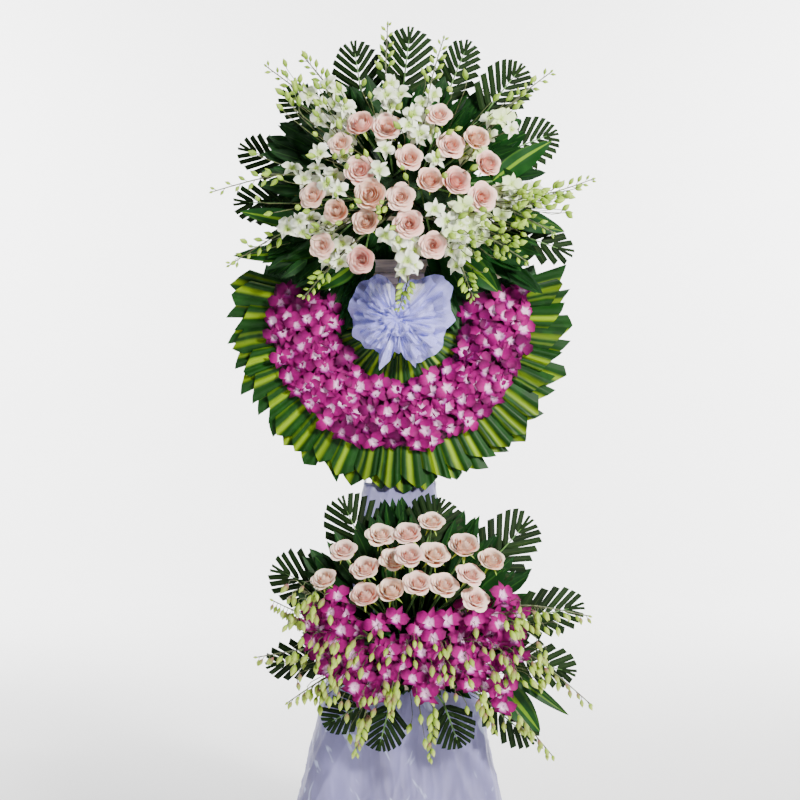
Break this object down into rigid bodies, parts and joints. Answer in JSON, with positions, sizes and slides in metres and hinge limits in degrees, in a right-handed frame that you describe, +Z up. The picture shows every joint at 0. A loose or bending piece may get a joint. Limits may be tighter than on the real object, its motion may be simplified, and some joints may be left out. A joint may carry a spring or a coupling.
{
  "type": "funeral flower stand",
  "caption": "Wooden easel with a cloth skirt carrying a half-ring wreath of leaves and orchids with a net bow, between two arrangements of roses, orchid sprays and palm fronds.",
  "frame": {"origin": "on the floor under the middle of the stand's bounding box", "axes": "+Z up, the front with the flowers faces -Y, +X is to the right of someone facing the front"},
  "size_m": [0.7911, 0.7531, 1.7798],
  "materials": {
    "weathered_wood": "weathered, unpainted",
    "floral_foam": "matte green foam",
    "skirt_cloth": "satin cloth, wrinkled",
    "bow_net": "fine net",
    "palm_green": "satin leaf",
    "striped_leaf_green": "satin leaf with a yellow-green stripe",
    "pale_pink_petal": "soft petal",
    "white_orchid_petal": "soft petal",
    "purple_orchid_petal": "soft petal"
  },
  "bodies": {
    "root": {"front_leg_left": "weathered_wood", "front_leg_right": "weathered_wood", "post": "weathered_wood", "rear_leg": "weathered_wood", "slat_lower": "weathered_wood", "slat_upper": "weathered_wood", "front_rail": "weathered_wood", "tie_rail": "weathered_wood", "lower_shelf": "weathered_wood", "upper_bracket": "weathered_wood", "wreath_board": "floral_foam", "upper_foam": "floral_foam", "lower_foam": "floral_foam", "skirt": "skirt_cloth", "net_bow": "bow_net", "frond_top_left": "palm_green", "frond_top": "palm_green", "frond_top_right": "palm_green", "frond_upper_right": "palm_green", "frond_right": "palm_green", "frond_upper_left": "palm_green", "frond_left": "palm_green", "frond_lower_right": "palm_green", "lower_frond_left": "palm_green", "lower_frond_top_left": "palm_green", "lower_frond_top": "palm_green", "lower_frond_upper_right": "palm_green", "lower_frond_right": "palm_green", "lower_frond_bottom_left": "palm_green", "lower_frond_bottom_right": "palm_green", "outer_leaves_1": "striped_leaf_green", "outer_leaves_2": "striped_leaf_green", "outer_leaves_3": "striped_leaf_green", "inner_leaves_1": "striped_leaf_green", "inner_leaves_2": "striped_leaf_green", "inner_leaves_3": "striped_leaf_green", "broad_leaves_left": "striped_leaf_green", "broad_leaves_right": "striped_leaf_green", "broad_leaves_below": "striped_leaf_green", "lower_broad_leaves": "striped_leaf_green", "upper_roses_left": "pale_pink_petal", "upper_roses_top": "pale_pink_petal", "upper_roses_middle": "pale_pink_petal", "upper_roses_right": "pale_pink_petal", "lower_roses_left": "pale_pink_petal", "lower_roses_right": "pale_pink_petal", "white_sprays_upper_left": "white_orchid_petal", "white_sprays_top": "white_orchid_petal", "white_sprays_right": "white_orchid_petal", "white_sprays_left": "white_orchid_petal", "white_sprays_hanging": "white_orchid_petal", "white_sprays_lower_right": "white_orchid_petal", "purple_band_1": "purple_orchid_petal", "purple_band_2": "purple_orchid_petal", "purple_band_3": "purple_orchid_petal", "purple_sprays_left": "purple_orchid_petal", "purple_sprays_lower_left": "purple_orchid_petal", "purple_sprays_middle": "purple_orchid_petal", "purple_sprays_lower_right": "purple_orchid_petal", "purple_sprays_right": "purple_orchid_petal"}
  },
  "joints": []
}
